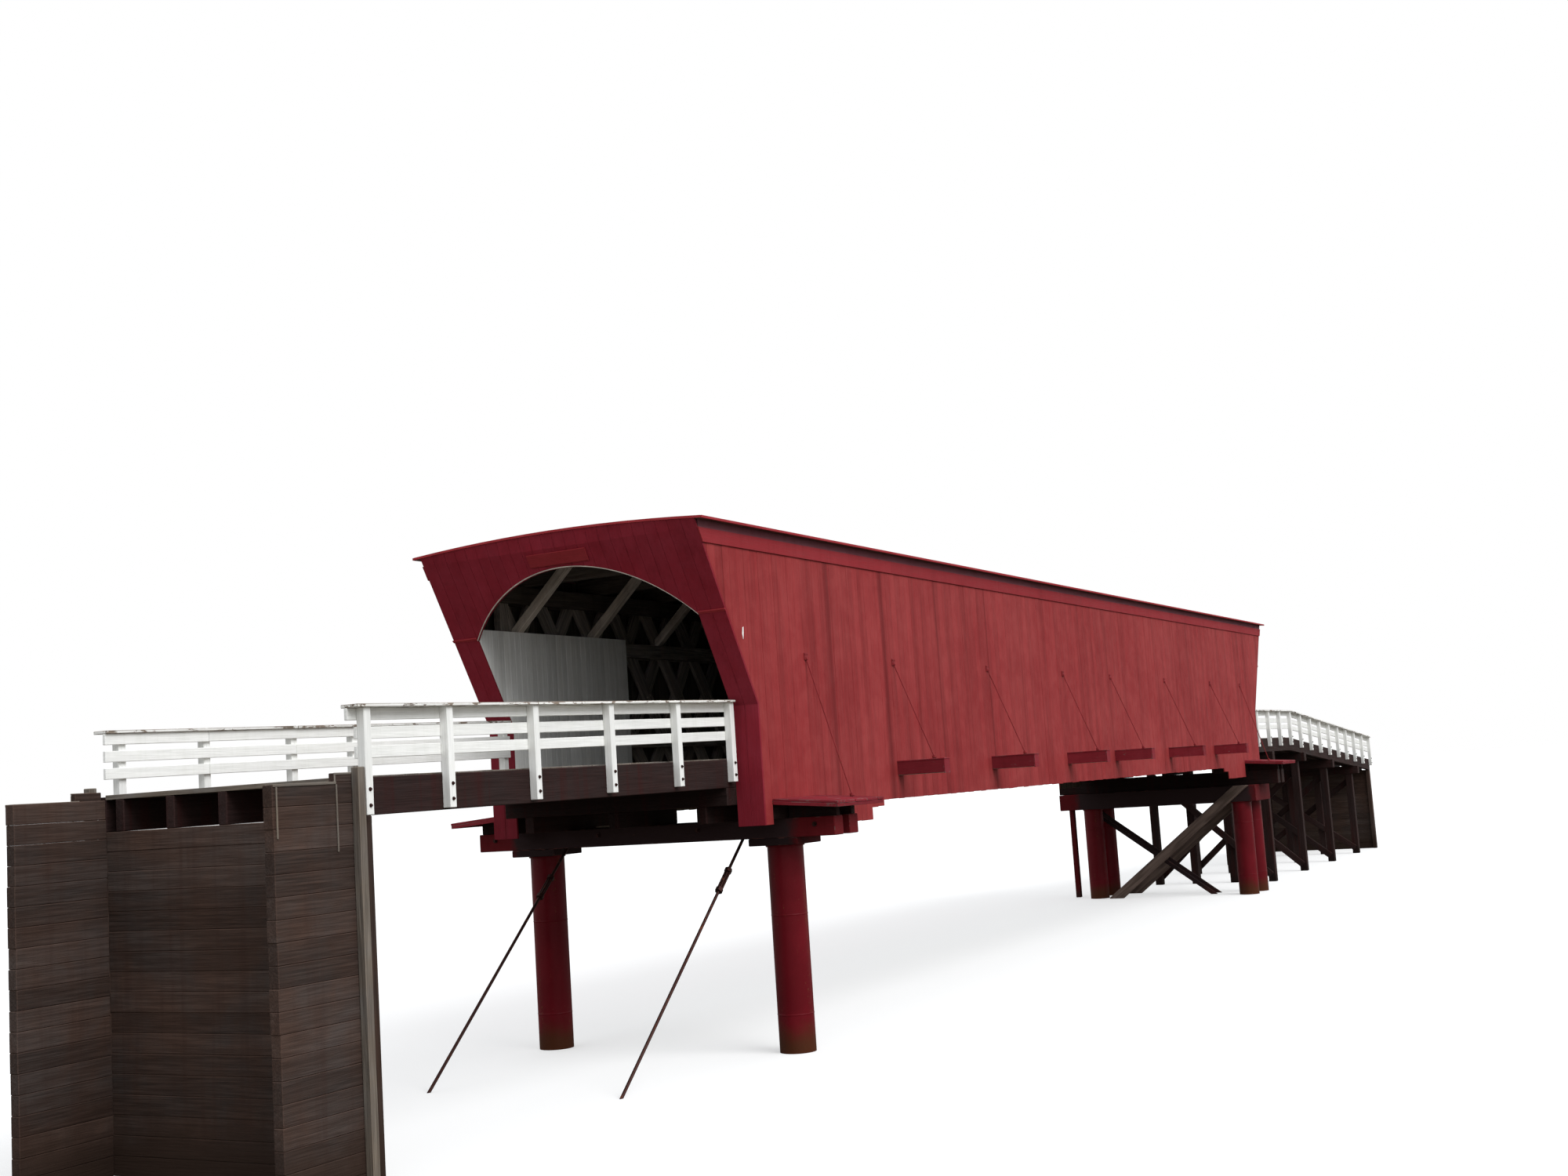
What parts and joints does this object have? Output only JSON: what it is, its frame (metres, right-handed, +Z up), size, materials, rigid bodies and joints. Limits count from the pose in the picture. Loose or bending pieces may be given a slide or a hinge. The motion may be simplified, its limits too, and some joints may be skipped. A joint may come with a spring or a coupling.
{
  "type": "covered bridge scale model",
  "caption": "Timber covered bridge with boarded lattice walls, raked arched portals, low roof, side outriggers with rods, piers, and railed approaches on trestles.",
  "frame": {"origin": "centre of the whole bridge's footprint, on the lowest ground under the piers", "axes": "+X along the road from the near portal to the far one, +Y to the left, +Z up"},
  "size_m": [31.9034, 3.859, 4.316],
  "materials": {
    "red_boarding": "weathered paint, vertical boards",
    "portal_red": "dark weathered paint",
    "red_trim": "weathered paint",
    "eave_red": "dark weathered paint",
    "pier_roof_red": "worn paint with pale patches",
    "inner_timber": "rough sawn, bare",
    "roof_timber": "rough sawn, darkened",
    "roof_boards": "weathered",
    "white_railing": "white paint, peeling",
    "worn_cap": "white paint worn to grey timber",
    "white_lining": "white paint, dusty",
    "dark_timber": "preserved timber, wet streaks",
    "deck_planks": "worn bare planks",
    "grey_timber": "weathered, stacked planks",
    "dark_iron": "dull, rusted",
    "rod_paint": "red paint, rusting",
    "column_paint": "satin paint, rust bleeding",
    "pier_timber": "red paint, weathered"
  },
  "bodies": {
    "root": {"right_siding": "red_boarding", "left_siding": "red_boarding", "frieze_boards": "red_trim", "right_lattice": "inner_timber", "left_lattice": "inner_timber", "bottom_chords": "inner_timber", "middle_chords": "inner_timber", "top_chords": "roof_timber", "end_posts": "inner_timber", "bearing_timbers": "dark_timber", "floor_beams": "inner_timber", "outrigger_beams": "inner_timber", "outrigger_covers": "pier_roof_red", "sway_rods": "rod_paint", "deck_joists": "inner_timber", "main_deck": "deck_planks", "entrance_linings": "white_lining", "tie_beams": "roof_timber", "knee_braces": "inner_timber", "portal_headers": "roof_timber", "roof_purlins": "roof_timber", "eave_boards": "eave_red", "roof_deck": "roof_boards", "roof_edge_trim": "red_trim", "near_portal": "portal_red", "far_portal": "portal_red", "portal_bands": "red_trim", "name_boards": "red_trim", "near_pier_columns": "column_paint", "near_pier_bolsters": "pier_timber", "near_pier_cap": "pier_timber", "near_pier_stays": "dark_iron", "far_pier_piles": "column_paint", "far_pier_cap": "pier_timber", "far_pier_cross_timbers": "pier_timber", "far_pier_braces": "pier_timber", "pier_ledges": "pier_roof_red", "seat_corbels": "dark_timber", "approach_seats": "dark_timber", "approach_stringers": "dark_timber", "approach_edge_beams": "dark_timber", "approach_decks": "deck_planks", "near_right_railing": "white_railing", "near_left_railing": "white_railing", "far_right_railing": "white_railing", "far_left_railing": "white_railing", "rail_caps": "worn_cap", "abutment_walls": "grey_timber", "wing_walls": "grey_timber", "abutment_posts": "grey_timber", "far_bent_posts": "dark_timber", "far_bent_caps": "dark_timber", "far_bent_braces": "dark_timber"}
  },
  "joints": []
}
